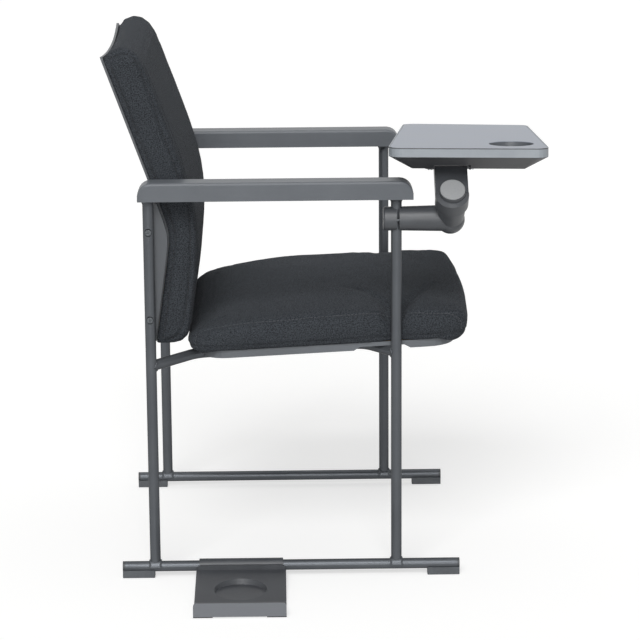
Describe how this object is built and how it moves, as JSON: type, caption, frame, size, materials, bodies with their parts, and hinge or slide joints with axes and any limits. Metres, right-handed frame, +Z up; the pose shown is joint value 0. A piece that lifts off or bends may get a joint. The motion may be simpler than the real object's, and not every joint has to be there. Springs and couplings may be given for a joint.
{
  "type": "visitor chair with writing tablet",
  "caption": "Padded visitor chair on sled side frames of round tube, with armrests, a writing tablet that swings over beside the right arm and a tray hooked over the floor rail.",
  "frame": {"origin": "on the floor under the middle of the chair's outer box", "axes": "+X towards the sitter's front, +Y towards the sitter's left, +Z up"},
  "size_m": [0.7321, 0.766, 0.904],
  "materials": {
    "coated_steel": "dark grey powder coat, satin",
    "coated_casting": "cast, dark grey powder coat",
    "zinc_steel": "zinc-plated",
    "black_plastic": "moulded",
    "charcoal_fabric": "flat-woven upholstery",
    "plywood": "bare ply",
    "grey_plastic": "moulded, fine grain",
    "armrest_plastic": "moulded, satin",
    "tablet_plastic": "moulded, satin",
    "brass": "turned",
    "cap_plastic": "moulded",
    "washer_plastic": "friction disc"
  },
  "bodies": {
    "chair": {"rail_right": "coated_steel", "rail_left": "coated_steel", "rail_end_caps": "black_plastic", "foot_glides": "black_plastic", "rear_post_right": "coated_steel", "rear_post_left": "coated_steel", "front_post_right": "coated_steel", "front_post_left": "coated_steel", "seat_tube_right": "coated_steel", "seat_tube_left": "coated_steel", "seat_cross_tubes": "coated_steel", "seat_tabs": "coated_steel", "seat_screws": "zinc_steel", "seat_pan": "grey_plastic", "seat_board": "plywood", "seat_cushion": "charcoal_fabric", "arm_bar_right": "coated_steel", "arm_bar_left": "coated_steel", "armrest_right": "armrest_plastic", "armrest_left": "armrest_plastic", "armrest_screws": "zinc_steel", "back_shell": "grey_plastic", "back_inserts": "brass", "back_screws": "zinc_steel", "back_board": "plywood", "back_cushion": "charcoal_fabric", "clamp_cap": "coated_casting", "clamp_screws": "zinc_steel", "tablet_arm": "coated_casting", "hinge_pin": "zinc_steel", "friction_washer": "washer_plastic", "spring_washers": "zinc_steel", "hinge_nut": "zinc_steel"},
    "tablet": {"tablet_bracket": "coated_casting", "hub_cap": "cap_plastic", "tablet_screws": "zinc_steel", "tablet_base": "tablet_plastic", "tablet_top": "tablet_plastic"},
    "tray": {"drip_tray": "grey_plastic", "tray_feet": "black_plastic"}
  },
  "joints": [
    {"name": "tablet_fold", "type": "hinge", "parent": "chair", "child": "tablet", "pos_m": [0.21085, -0.169, 0.6197], "axis": [0, 0.6691, -0.7431], "range_deg": [0, 180]},
    {"name": "tray_hinge", "type": "hinge", "parent": "chair", "child": "tray", "pos_m": [-0.14465, -0.169, 0.018], "axis": [-1, 0, 0], "range_deg": [0, 85]}
  ]
}
